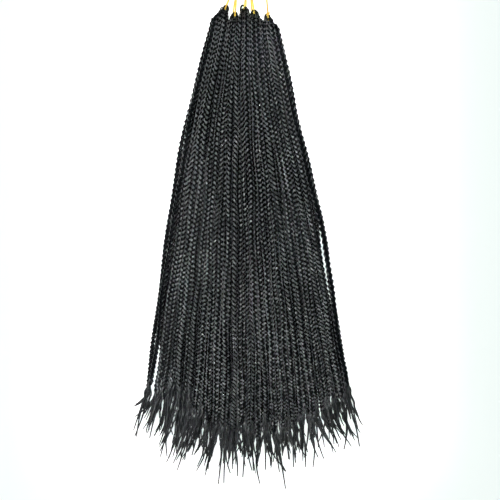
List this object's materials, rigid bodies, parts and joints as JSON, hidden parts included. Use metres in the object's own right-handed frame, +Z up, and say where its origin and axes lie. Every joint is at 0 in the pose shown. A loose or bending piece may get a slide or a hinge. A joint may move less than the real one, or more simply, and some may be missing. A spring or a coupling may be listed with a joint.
{
  "type": "crochet box braid hair",
  "caption": "Hank of pre-looped crochet box braids in black synthetic hair, gathered in bunches on yellow elastic bands, with loose tapered ends.",
  "frame": {"origin": "where the bands rest on the top of the hook that the hank hangs from", "axes": "+Z up, along the hanging hair; X across the fan of braids and along the hook; the front faces -Y"},
  "size_m": [0.2359, 0.0458, 0.489],
  "materials": {
    "hair": "matte synthetic fibre with a soft sheen",
    "elastic": "satin"
  },
  "bodies": {
    "root": {"bunch_left": "hair", "bunch_midleft": "hair", "bunch_middle": "hair", "bunch_midright": "hair", "bunch_right": "hair", "band_left": "elastic", "band_midleft": "elastic", "band_middle": "elastic", "band_midright": "elastic", "band_right": "elastic"}
  },
  "joints": []
}
